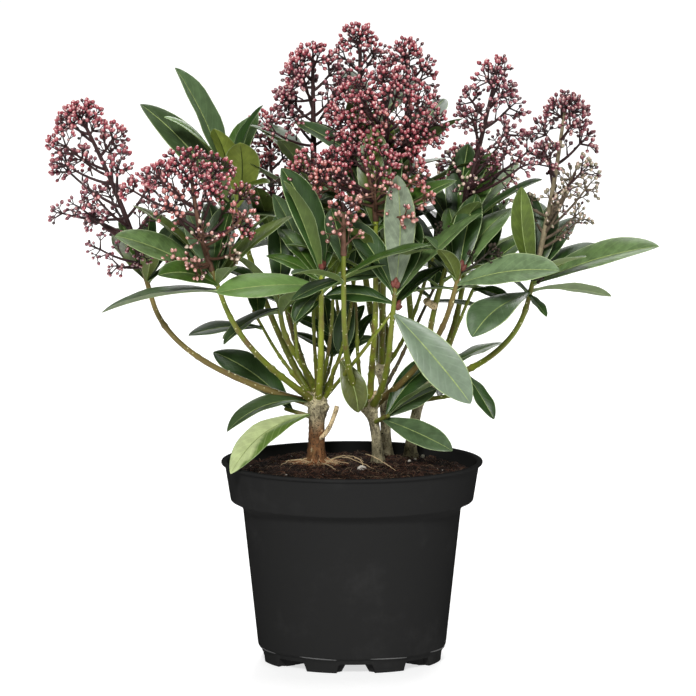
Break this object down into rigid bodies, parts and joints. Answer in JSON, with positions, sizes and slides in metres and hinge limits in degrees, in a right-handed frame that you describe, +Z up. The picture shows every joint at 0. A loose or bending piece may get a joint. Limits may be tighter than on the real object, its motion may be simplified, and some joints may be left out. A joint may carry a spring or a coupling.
{
  "type": "potted skimmia shrub",
  "caption": "Evergreen flowering shrub with whorled leaves and domed panicles of unopened red buds, in a round plastic nursery pot.",
  "frame": {"origin": "middle of the pot's flat underside", "axes": "+Z up through the pot's axis, -Y towards the plant's front, +X to the right seen from the front"},
  "size_m": [0.4396, 0.3104, 0.4592],
  "materials": {
    "pot": "satin moulded",
    "soil": "rough fibrous",
    "bark": "matt bark",
    "stem": "smooth young bark",
    "leaf": "leathery satin",
    "bud": "waxy satin"
  },
  "bodies": {
    "root": {"buds_back_centre": "bud", "buds_back_left": "bud", "buds_back_right": "bud", "buds_centre_front": "bud", "buds_centre_low": "bud", "buds_centre_top": "bud", "buds_far_left": "bud", "buds_far_right": "bud", "buds_left_front": "bud", "buds_right_top": "bud", "buds_top_centre": "bud", "buds_top_left": "bud", "buds_top_right": "bud", "leaves_back_centre": "leaf", "leaves_back_left": "leaf", "leaves_back_right": "leaf", "leaves_centre_front": "leaf", "leaves_centre_low": "leaf", "leaves_centre_right": "leaf", "leaves_centre_top": "leaf", "leaves_far_left": "leaf", "leaves_far_right": "leaf", "leaves_front_left": "leaf", "leaves_left_back": "leaf", "leaves_left_front": "leaf", "leaves_left_low": "leaf", "leaves_low_centre": "leaf", "leaves_low_left": "leaf", "leaves_low_right": "leaf", "leaves_right_mid": "leaf", "leaves_right_top": "leaf", "leaves_top_centre": "leaf", "leaves_top_left": "leaf", "leaves_top_right": "leaf", "limb_back_centre": "stem", "limb_back_left": "stem", "limb_back_right": "stem", "limb_centre_front": "stem", "limb_centre_low": "stem", "limb_centre_right": "stem", "limb_centre_top": "stem", "limb_far_left": "stem", "limb_far_right": "stem", "limb_front_left": "stem", "limb_left_back": "stem", "limb_left_front": "stem", "limb_left_low": "stem", "limb_right_mid": "stem", "limb_right_top": "stem", "limb_top_centre": "stem", "limb_top_left": "stem", "limb_top_right": "stem", "pot": "pot", "soil": "soil", "trunk_back": "bark", "trunk_centre": "bark", "trunk_left": "bark", "trunk_right": "bark"}
  },
  "joints": []
}
